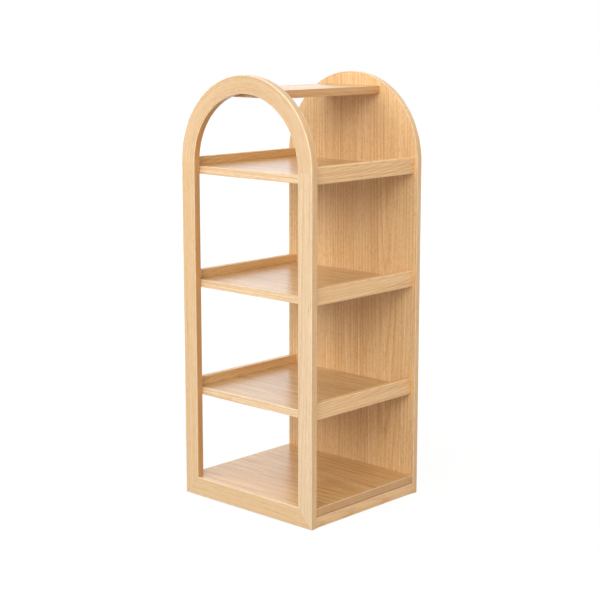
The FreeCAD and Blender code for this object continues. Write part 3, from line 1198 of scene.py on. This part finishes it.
@dataclass
class FrontFrame:
    """The open face frame in front: a bent arch, two stiles and a mitred bottom rail.

    Attributes:
        oak: Material of the stile on each side; the rail has the left one's.
        bent_oak: Material of the arch.
        edge_radius: Radius of the eased edges.
        relief: Length of the fine bevel at the pieces' ends.
        low: Lowest corner of the arch.
        high: Highest corner of the arch.
        foot: Level of the rail's underside.
        rail_top: Level of the rail's top.
        half: Half the frame's width.
        inner_half: Half the opening's width.
    """

    oak: dict[Side, bpy.types.Material]
    bent_oak: bpy.types.Material
    edge_radius: float = 2.5 * MM
    relief: float = 0.25 * MM
    low: Vector = field(init=False)
    high: Vector = field(init=False)
    foot: float = field(init=False)
    rail_top: float = field(init=False)
    half: float = field(init=False)
    inner_half: float = field(init=False)

    def __post_init__(self) -> None:
        """Read the frame's levels from its nodes."""
        self.low, self.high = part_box("front_arch")
        self.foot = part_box("front_bottom_rail")[0].z
        self.rail_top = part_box("front_bottom_rail")[1].z
        self.half = self.high.x
        self.inner_half = -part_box("front_stile_left")[1].x

    def build(self) -> None:
        """Build the four pieces of the frame."""
        self._arch()
        for side in Side:
            self._stile(side)
        self._rail()

    def _arch(self) -> None:
        """Carry the frame's section over a half circle."""
        low, high = (self.inner_half, self.low.y), (self.half, self.high.y)
        outline = rectangle(low, high, [self.edge_radius] * 4)
        path = arc_path(self.low.z, (self.half + self.inner_half) / 2, self.relief)
        cut = Cut(start=3.1, pith_across=-34 * MM, pith_deep=44 * MM, lean=0.03)
        add_piece("frame_arch", Sweep(outline, path, cut), "front_arch", self.bent_oak)

    def _stile(self, side: Side) -> None:
        """Carry the section up a side, from the mitre to the foot of the arch.

        Args:
            side: The side.
        """
        ends = sorted((side.value * self.inner_half, side.value * self.half))
        outline = rectangle((ends[0], self.low.y), (ends[1], self.high.y), [self.edge_radius] * 4)
        path = straight_path(Axis.Z, self.foot, self.low.z, self.relief)
        rise = (self.rail_top - self.foot) / (self.half - self.inner_half)
        cuts = {
            Side.LEFT: Cut(start=11.4, pith_across=52 * MM, pith_deep=46 * MM, lean=0.02),
            Side.RIGHT: Cut(start=17.9, pith_across=38 * MM, pith_deep=60 * MM, lean=-0.016),
        }
        slants = (-side.value * rise, 0.0)
        sweep = Sweep(outline, path, cuts[side], slants=slants, slant_zero=side.value * self.half)
        add_piece(f"frame_stile_{side.word}", sweep, f"front_stile_{side.word}", self.oak[side])

    def _rail(self) -> None:
        """Carry the rail's section from mitre to mitre, with b upwards."""
        outline = rectangle((self.low.y, self.foot), (self.high.y, self.rail_top), [self.edge_radius] * 4)
        path = straight_path(Axis.X, -self.half, self.half, self.relief)
        cut = Cut(start=24.6, pith_across=38 * MM, pith_deep=14 * MM, lean=0.05)
        run = (self.half - self.inner_half) / (self.rail_top - self.foot)
        sweep = Sweep(outline, path, cut, slants=(run, -run), slant_zero=self.foot, slant_place=1)
        add_piece("frame_bottom_rail", sweep, "front_bottom_rail", self.oak[Side.LEFT])


@dataclass
class BackPanel:
    """The solid back: an arched veneered board with a solid band bent round it.

    Attributes:
        veneer: Material of the board.
        band: Material of the band.
        edge_radius: Radius of the band's outer edges.
        joint: Bevel of the edges along the glue line.
        relief: Length of the fine bevel at the ends.
    """

    veneer: bpy.types.Material
    band: bpy.types.Material
    edge_radius: float = 1.6 * MM
    joint: float = 0.15 * MM
    relief: float = 0.2 * MM

    def build(self) -> None:
        """Build the board and its band."""
        low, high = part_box("back_panel")
        edge_low, edge_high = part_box("panel_edge_band")
        spring = high.z - high.x
        board = Sweep(
            arch(high.x, low.z, spring),
            straight_path(Axis.Y, low.y, high.y, self.relief),
            Cut(start=31.7, pith_across=-137 * MM, pith_deep=40 * MM, lean=-0.048),
            grain=Grain.WITH_A,
            relief=self.joint,
        )
        add_piece("panel_board", board, "back_panel", self.veneer)
        radii = (self.joint, self.edge_radius, self.edge_radius, self.joint)
        outline = rectangle((high.x, edge_low.y), (edge_high.x, edge_high.y), radii)
        path = arched_path(edge_high.x, edge_low.z, spring, self.relief)
        band = Sweep(outline, path, Cut(start=37.2, pith_across=60 * MM, pith_deep=25 * MM, lean=0.01))
        add_piece("panel_band", band, "panel_edge_band", self.band)


@dataclass
class Shelf:
    """One fixed shelf: a veneered board, a band on its front edge and a lip on each side.

    Attributes:
        level: The shelf's name, which its nodes start with.
        oak: Material of the lip on each side.
        veneer: Material of the board.
        band: Material of the front band.
        cuts: Where in the log each piece was sawn.
        board_edge_radius: Radius of the front band's outer edges.
        lip_edge_radius: Radius of the lips' edges.
        joint: Bevel of the edges along the glue lines.
        relief: Length of the fine bevel at the ends.
    """

    level: str
    oak: dict[Side, bpy.types.Material]
    veneer: bpy.types.Material
    band: bpy.types.Material
    cuts: dict[str, Cut]
    board_edge_radius: float = 1.2 * MM
    lip_edge_radius: float = 2.5 * MM
    joint: float = 0.15 * MM
    relief: float = 0.2 * MM

    def build(self) -> None:
        """Build the board, the band and the lips of this shelf."""
        self._bar("shelf_board", self.veneer, [self.joint] * 4, Axis.X)
        front = (self.board_edge_radius, self.joint, self.joint, self.board_edge_radius)
        self._bar("shelf_front_band", self.band, front, Axis.X)
        eased = self.lip_edge_radius
        self._bar("lip_left", self.oak[Side.LEFT], (eased, eased, eased, self.joint), Axis.Y)
        self._bar("lip_right", self.oak[Side.RIGHT], (self.joint, eased, eased, eased), Axis.Y)

    def _bar(
        self, part: str, finish: bpy.types.Material, radii: Sequence[float], axis: Axis
    ) -> None:
        """Carry a rectangle along an axis through the box of a node.

        Args:
            part: The node's name without the level.
            finish: The material.
            radii: Corner radii, as rectangle takes them.
            axis: The axis that the piece runs along.
        """
        node = f"{self.level}_{part}"
        sweep = straight_bar(node, axis, radii, self.cuts[part], self.relief)
        add_piece(f"{self.level}_{part}_oak", sweep, node, finish)


def straight_bar(
    node: str,
    axis: Axis,
    radii: Sequence[float],
    cut: Cut,
    relief: float,
    grain: Grain = Grain.WITH_RUN,
) -> Sweep:
    """Carry a rectangle with rounded corners through the box of a node.

    Args:
        node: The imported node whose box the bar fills.
        axis: The axis that the bar runs along.
        radii: Corner radii, as rectangle takes them.
        cut: Where in the log it was sawn.
        relief: Size of the fine bevel at the ends.
        grain: Which way the grain runs.

    Returns:
        The surface.
    """
    low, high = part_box(node)
    run, a, b = axis.value
    outline = rectangle((low[a], low[b]), (high[a], high[b]), radii)
    return Sweep(outline, straight_path(axis, low[run], high[run], relief), cut, grain, relief=relief)


@dataclass
class TopShelf:
    """The narrow shelf behind the crown: a veneered board with a band on each side.

    Attributes:
        veneer: Material of the board.
        band: Material of the bands.
        edge_radius: Radius of the bands' outer edges.
        joint: Bevel of the edges along the glue lines.
        relief: Length of the fine bevel at the board's ends.
    """

    veneer: bpy.types.Material
    band: bpy.types.Material
    edge_radius: float = 1.2 * MM
    joint: float = 0.15 * MM
    relief: float = 0.2 * MM

    def build(self) -> None:
        """Build the board and its two bands."""
        cut = Cut(start=83.5, pith_across=120 * MM, pith_deep=60 * MM, lean=0.03)
        board = straight_bar("top_shelf", Axis.Y, [self.joint] * 4, cut, self.relief)
        add_piece("top_shelf_oak", board, "top_shelf", self.veneer)
        add_side_bands(
            "top_shelf", self.band, self.edge_radius, self.joint, start=87.1, grain=Grain.WITH_RUN
        )


def add_side_bands(
    board: str,
    finish: bpy.types.Material,
    edge_radius: float,
    joint: float,
    start: float,
    grain: Grain,
) -> None:
    """Add the band on each side edge of a board, with its outer corners rounded.

    Args:
        board: The board's node, whose bands carry its name.
        finish: Material of the bands.
        edge_radius: Radius of the outer corners.
        joint: Bevel of the corners along the glue line, and of the ends.
        start: Place in the log, between those of the two bands.
        grain: Which way the grain runs; with b, the end grain is in sight.
    """
    for side in Side:
        node = f"{board}_band_{side.word}"
        outer = side is Side.RIGHT
        near, far = (joint, edge_radius) if outer else (edge_radius, joint)
        cut = Cut(start=start + side.value, pith_across=14 * MM, pith_deep=22 * MM, lean=0.06)
        sweep = straight_bar(node, Axis.Y, (near, near, far, far), cut, joint, grain)
        add_piece(f"{node}_oak", sweep, node, finish)


@dataclass
class Base:
    """The bottom board's bands and the rails under it; the board itself is the node's own.

    A narrow groove along the top of each rail parts it from the band above.

    Attributes:
        oak: Material of the rails.
        band: Material of the bands.
        board: Material of the board.
        edge_radius: Radius of the bands' outer edges.
        groove_height: Height of the groove.
        groove_depth: Depth of the groove.
        joint: Bevel of the edges along the glue lines, and of the ends.
    """

    oak: bpy.types.Material
    band: bpy.types.Material
    board: bpy.types.Material
    edge_radius: float = 1.6 * MM
    groove_height: float = 1.8 * MM
    groove_depth: float = 5.0 * MM
    joint: float = 0.15 * MM

    def build(self, nodes: dict[str, bpy.types.Object]) -> None:
        """Build the bands and rails, and dress the bottom board's node.

        Args:
            nodes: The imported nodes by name.
        """
        dress(nodes["bottom_board"], self.board)
        add_side_bands(
            "bottom_board", self.band, self.edge_radius, self.joint, start=93.4, grain=Grain.WITH_B
        )
        for side in Side:
            node = f"base_rail_{side.word}"
            cut = Cut(start=101.3 + 3 * side.value, pith_across=9 * MM, pith_deep=28 * MM, lean=0.05)
            plain = straight_bar(node, Axis.Y, [self.joint] * 4, cut, self.joint)
            low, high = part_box(node)
            outline = grooved(
                (low.z, low.x),
                (high.z, high.x),
                at_high_b=side is Side.RIGHT,
                height=self.groove_height,
                depth=self.groove_depth,
            )
            add_piece(f"{node}_oak", replace(plain, outline=outline), node, self.oak)


def dress(node: bpy.types.Object, finish: bpy.types.Material) -> None:
    """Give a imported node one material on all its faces, and report it.

    Args:
        node: The node.
        finish: The material.
    """
    node.data.materials.clear()
    node.data.materials.append(finish)
    LOG.info("%s keeps its own shape, in %s", node.name, finish.name)


@dataclass(frozen=True)
class Lamp:
    """A square soft lamp.

    Attributes:
        name: Its name.
        place: Where it hangs.
        size: Length of its side, in metres.
        power: Its power in watts.
    """

    name: str
    place: Point
    size: float
    power: float


# The strongest of the lamps hangs on the camera's side
LAMPS = (
    Lamp("left_lamp", (-3.8, -3.5, 4.6), 3.4, 90),
    Lamp("high_lamp", (-0.5, -3.0, 6.3), 3.4, 84),
    Lamp("camera_side_lamp", (2.6, -5.3, 3.0), 2.4, 162),
    Lamp("front_lamp", (-0.4, -5.8, 3.2), 2.6, 98),
    Lamp("right_lamp", (3.6, 0.1, 2.3), 4.6, 44),
    Lamp("back_left_lamp", (-4.0, 4.2, 2.1), 4.0, 20),
    Lamp("back_lamp", (0.0, 5.6, 2.8), 2.4, 110),
)


@dataclass
class Studio:
    """The plain pale floor, the soft lamps and the camera at the photograph's view.

    Attributes:
        azimuth: Turn of the camera to the tower's right of the front, in degrees.
        elevation: Rise of the camera over its target, in degrees.
        distance: Distance from the camera to its target, in metres.
        target_shift: Distance of the target to the picture's right of the tower's axis.
        target_level: Level of the target.
        focal_pixels: Focal length in pixels of the photograph's frame.
        frame_pixels: Width and height of the photograph's frame.
        sensor: Width of the camera's sensor, in millimetres.
        lit: The point that every lamp faces.
        ambient: Strength of the light from all around, where full white is 1.
        floor_reach: Distance from the middle of the floor to its edges, in metres.
        paper: Colour of the floor that takes the shadow.
        glow: Strength of the floor's own white.
        near_share: Share of that white at the tower's foot.
        near: Distance from the middle within which the share stays so, in metres.
        far: Distance past which the floor is all white, in metres.
    """

    azimuth: float = 42.99
    elevation: float = 10.7
    distance: float = 4.1777
    target_shift: float = -4.59 * MM
    target_level: float = 566.33 * MM
    focal_pixels: float = 1481.5
    frame_pixels: int = 600
    sensor: float = 36.0
    lit: Point = (0.0, 0.0, 0.6)
    ambient: float = 0.46
    floor_reach: float = 12.0
    paper: Colour = (0.42, 0.41, 0.4)
    glow: float = 1.1
    near_share: float = 0.86
    near: float = 0.7
    far: float = 2.4

    def build(self) -> None:
        """Build the whole studio."""
        bpy.context.scene.view_settings.view_transform = "Standard"
        self._camera()
        self._world()
        self._floor()
        for lamp in LAMPS:
            self._lamp(lamp)

    def _camera(self) -> None:
        """Stand the camera at its turn, rise and distance, looking at the target."""
        turn, rise = math.radians(self.azimuth), math.radians(self.elevation)
        back = Vector((math.sin(turn) * math.cos(rise), -math.cos(turn) * math.cos(rise), math.sin(rise)))
        across = Vector((math.cos(turn), math.sin(turn), 0))
        target = across * self.target_shift + Vector((0, 0, self.target_level))
        data = bpy.data.cameras.new("camera")
        data.sensor_width = self.sensor
        data.lens = self.focal_pixels * self.sensor / self.frame_pixels
        camera = bpy.data.objects.new("camera", data)
        camera.location = target + back * self.distance
        camera.rotation_euler = back.to_track_quat("Z", "Y").to_euler()
        bpy.context.scene.collection.objects.link(camera)
        bpy.context.scene.camera = camera

    def _lamp(self, lamp: Lamp) -> None:
        """Hang a square soft lamp, turned to the lit point.

        Args:
            lamp: The lamp.
        """
        data = bpy.data.lights.new(lamp.name, "AREA")
        data.shape = "SQUARE"
        data.size = lamp.size
        data.energy = lamp.power
        hung = bpy.data.objects.new(lamp.name, data)
        hung.location = lamp.place
        hung.rotation_euler = (Vector(lamp.place) - Vector(self.lit)).to_track_quat("Z", "Y").to_euler()
        bpy.context.scene.collection.objects.link(hung)

    def _seen(self, bench: NodeBench) -> Socket:
        """Tell apart the rays that show the background: from the camera, a gloss or a glass.

        Args:
            bench: The nodes.

        Returns:
            1 for those rays and 0 for others.
        """
        rays = bench.add("ShaderNodeLightPath").outputs
        seen = bench.math("MAXIMUM", rays["Is Camera Ray"], rays["Is Glossy Ray"])
        return bench.math("MAXIMUM", seen, rays["Is Transmission Ray"])

    def _world(self) -> None:
        """Surround the studio with white where it is seen, and a plain ambient light."""
        world = bpy.data.worlds.new("studio")
        world.use_nodes = True
        bench = NodeBench.over(world.node_tree)
        levels = {"Value": self._seen(bench), "To Min": self.ambient, "To Max": 1.0}
        strength = bench.add("ShaderNodeMapRange", levels).outputs["Result"]
        background = bench.add("ShaderNodeBackground", {"Color": WHITE, "Strength": strength})
        bench.end(background.outputs[0], "ShaderNodeOutputWorld")
        bpy.context.scene.world = world

    def _floor(self) -> None:
        """Lay a pale floor that keeps a faint shadow of the tower and is white far off."""
        corners = self.floor_reach * np.array([[-1, -1, 0], [1, -1, 0], [1, 1, 0], [-1, 1, 0]])
        mesh = bpy.data.meshes.new("floor")
        mesh.from_pydata(corners.tolist(), [], [(0, 1, 2, 3)])
        floor = bpy.data.objects.new("floor", mesh)
        bpy.context.scene.collection.objects.link(floor)
        bench = NodeBench("pale_floor")
        paper = bench.add("ShaderNodeBsdfDiffuse", {"Color": (*self.paper, 1)}).outputs[0]
        glow = bench.add("ShaderNodeEmission", {"Color": WHITE, "Strength": self.glow}).outputs[0]
        away = bench.length(bench.coordinates())
        share = bench.times(self._seen(bench), bench.span(away, self.near, self.far, self.near_share, 1.0))
        bench.end(bench.add("ShaderNodeMixShader", {0: share, 1: paper, 2: glow}).outputs[0])
        mesh.materials.append(bench.material)


def shelf_cuts(number: int) -> dict[str, Cut]:
    """Choose where the pieces of one shelf were sawn, far apart from the other shelves'.

    Args:
        number: The shelf's number from below, from 0.

    Returns:
        The cut of each piece, by its node's name without the level.
    """
    start = 43.0 + 11.0 * number
    across = (90 - 70 * number) * MM
    lean = 0.02 + 0.012 * number
    return {
        "shelf_board": Cut(start, pith_across=across, pith_deep=34 * MM, lean=lean),
        "shelf_front_band": Cut(start + 2.3, pith_across=8 * MM, pith_deep=26 * MM, lean=0.04),
        "lip_left": Cut(start + 4.1, pith_across=18 * MM, pith_deep=-36 * MM, lean=0.12),
        "lip_right": Cut(start + 6.7, pith_across=-26 * MM, pith_deep=-36 * MM, lean=-0.11),
    }


def dress_hardware(nodes: dict[str, bpy.types.Object]) -> None:
    """Give the pieces inside and under the tower their finishes.

    Args:
        nodes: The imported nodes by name.
    """
    beech = {"pale": linear(222, 190, 146), "brown": linear(190, 150, 108)}
    pine = {"pale": linear(228, 200, 150), "brown": linear(196, 152, 96)}
    plated = {"roughness": (0.22, 0.42), "grain": 1600.0}
    finishes = {
        "end_dowels": PlainWoodFinish("beech_along_y", grain=Axis.Y, **beech),
        "lip_dowels": PlainWoodFinish("beech_along_x", grain=Axis.X, **beech),
        "base_rail_dowels": PlainWoodFinish("beech_along_z", grain=Axis.Z, **beech),
        "arch_loose_tenons": PlainWoodFinish("beech_tenon", grain=Axis.Z, **beech),
        "mitre_loose_tenons": PlainWoodFinish("beech_mitre_tenon", grain=Axis.Z, **beech),
        "base_corner_blocks": PlainWoodFinish("pine", grain=Axis.X, pitch=3.2 * MM, **pine),
        "cam_locks": metal_finish(
            "zinc_casting", linear(176, 176, 180), linear(146, 147, 152), roughness=(0.34, 0.54)
        ),
        "cam_bolts": metal_finish(
            "plated_steel", linear(200, 196, 184), linear(172, 168, 156), **plated
        ),
        "glide_screws": metal_finish(
            "plated_screw", linear(198, 196, 190), linear(168, 166, 162), **plated
        ),
        "glides": plastic_finish(
            "nylon", linear(214, 206, 188), linear(202, 192, 172), roughness=(0.39, 0.53)
        ),
        "cam_covers": plastic_finish(
            "cover_disc", linear(212, 170, 120), linear(198, 152, 102), roughness=(0.44, 0.58)
        ),
    }
    for node, finish in finishes.items():
        dress(nodes[node], finish.material())


# Even, quiet grain of the front frame
CALM = {
    "year_strength": 0.22,
    "streak_strength": 0.15,
    "dark_lines": 0.15,
    "pale_lines": 0.25,
    "dashes": 0.2,
    # strong painted highlight on the eased edges
    "edge_paleness": 0.9,
}

# Livelier grain of the lips and the base rails
LIVELY = {
    "year_strength": 0.48,
    "dark_lines": 0.35,
    "dashes": 0.15,
    # strong painted highlight on the eased edges
    "edge_paleness": 0.9,
}

# Wide figure of the shelves' veneer, under a closed lacquer
WIDE = {
    "year_width": 15 * MM,
    "year_strength": 0.6,
    "patchiness": 1.0,
    "sway": 30 * MM,
    "shortness": 3.5,
    "streak_strength": 0.6,
    "dark_lines": 0.6,
    "pale_lines": 0.7,
    "dashes": 0.5,
    "lacquer": 1.0,
}


@dataclass(frozen=True)
class TowerOak:
    """The tower's oak materials, each toned for its place.

    Attributes:
        stiles: The front frame's stiles, by side; the right one is whitened as a painted sheen.
        arch: The bent arch, toned across with painted shade and sheen.
        lips: The shelves' lips, by side; the left ones are darkened as painted shade.
        front_band: The shelves' front bands.
        panel: Veneer of the back panel.
        panel_band: The band bent round the back panel.
        shelf: Veneer of the three shelves.
        top_shelf: Veneer of the top shelf.
        top_band: The top shelf's side bands.
        bottom: Veneer of the bottom board.
        end_band: The bottom board's side bands, which show their end grain.
    """

    stiles: dict[Side, bpy.types.Material]
    arch: bpy.types.Material
    lips: dict[Side, bpy.types.Material]
    front_band: bpy.types.Material
    panel: bpy.types.Material
    panel_band: bpy.types.Material
    shelf: bpy.types.Material
    top_shelf: bpy.types.Material
    top_band: bpy.types.Material
    bottom: bpy.types.Material
    end_band: bpy.types.Material


def choose_oak() -> TowerOak:
    """Tone the oak for each kind of piece.

    Returns:
        The materials.
    """
    oak = OakFinish("oak_lacquered")
    # The left stile's faces that look along X carry painted shade
    left_stile = oak.toned(
        "frame_oak_lacquered", (0.89, 0.885, 0.865), side_tones=((0.9, 0.7, 0.47),), **CALM
    )
    # Painted sheen: the right stile, the nearer one, is a paler, whiter copy of the frame oak; its side
    # shade is painted shade
    right_stile = oak.toned(
        "painted_sheen_frame_oak_lacquered", (0.9, 0.955, 1.06), side_tones=((1.05, 0.88, 0.65),), **CALM
    )
    # Painted light on the arch: its front tones match the left stile at the left, darken towards the crown
    # as painted shade and whiten towards the right as the near stile's painted sheen; its side shades are
    # painted shade
    arch_oak = replace(
        oak,
        name="bent_oak_lacquered",
        front_tones=((0.88, 0.88, 0.885), (0.79, 0.785, 0.775), (0.845, 0.868, 0.93)),
        side_tones=((0.96, 0.74, 0.49), (1.12, 0.97, 0.74)),
        **CALM,
    )
    # Painted shade: the left lips, whose faces in sight look into the tower, are a darker, warmer copy of
    # the right lips' oak
    left_lip = oak.toned("shaded_lip_oak_lacquered", (0.99, 0.92, 0.76), **LIVELY)
    right_lip = oak.toned("lip_oak_lacquered", (1.1, 1.0, 0.85), **LIVELY)
    # The front bands carry a full painted highlight on their eased edges
    front_band = oak.toned("oak_band_lacquered", (0.98, 1.04, 1.13), edge_paleness=1.0)
    panel = oak.toned(
        "panel_veneer_lacquered",
        (0.985, 0.95, 0.855),
        year_width=11 * MM,
        year_strength=0.55,
        patchiness=0.9,
        shortness=1.6,
        streak_strength=0.12,
        dark_lines=0.3,
        pale_lines=0.6,
        dashes=0.42,
        lacquer=0.45,
    )
    panel_band = oak.toned(
        "panel_band_oak_lacquered",
        (1.0, 0.97, 0.88),
        # painted shade on the band's faces that look along X
        bright=oak.bright,
        side_tones=((0.99, 0.96, 0.94),),
        dark_lines=0.2,
        # full painted highlight on the eased edges
        edge_paleness=1.0,
    )
    shelf = oak.toned("board_veneer_lacquered", (0.82, 0.77, 0.63), lacquer_ior=1.7, **WIDE)
    top_shelf = oak.toned("top_board_veneer_lacquered", (0.85, 0.8, 0.66), **(WIDE | {"lacquer": 0.75}))
    top_band = oak.toned(
        "top_band_oak_lacquered",
        (1.0, 1.0, 0.96),
        # painted shade on the bands' faces that look along X
        side_tones=((0.83, 0.63, 0.44),),
        dark_lines=0.3,
        dashes=0.2,
    )
    bottom = oak.toned("bottom_board_lacquered", (0.93, 0.86, 0.68), lacquer_ior=1.44, **WIDE)
    end_band = oak.toned(
        "end_grain_band_lacquered",
        (0.8, 0.63, 0.44),
        bright=oak.bright,
        year_strength=0.15,
        streak_strength=0.2,
        dark_lines=0.2,
        pale_lines=0.15,
        dashes=0.3,
        # full painted highlight on the eased edges
        edge_paleness=1.0,
    )
    return TowerOak(
        stiles={Side.LEFT: left_stile.material(), Side.RIGHT: right_stile.material()},
        arch=arch_oak.material(),
        lips={Side.LEFT: left_lip.material(), Side.RIGHT: right_lip.material()},
        front_band=front_band.material(),
        panel=panel.material(),
        panel_band=panel_band.material(),
        shelf=shelf.material(),
        top_shelf=top_shelf.material(),
        top_band=top_band.material(),
        bottom=bottom.material(from_object=Axis.X),
        end_band=end_band.material(),
    )


def main() -> None:
    """Load the frame, and build the tower's sub-assemblies and the studio."""
    logging.basicConfig(level=logging.INFO, format="%(name)s: %(message)s")
    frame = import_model()

    oak = choose_oak()
    FrontFrame(oak.stiles, oak.arch).build()
    BackPanel(oak.panel, oak.panel_band).build()
    for number, level in enumerate(("lower", "middle", "upper")):
        Shelf(level, oak.lips, oak.shelf, oak.front_band, shelf_cuts(number)).build()
    TopShelf(oak.top_shelf, oak.top_band).build()
    Base(oak.lips[Side.RIGHT], oak.end_band, oak.bottom).build(frame["nodes"])
    dress_hardware(frame["nodes"])
    Studio().build()


if __name__ == "__main__":
    main()
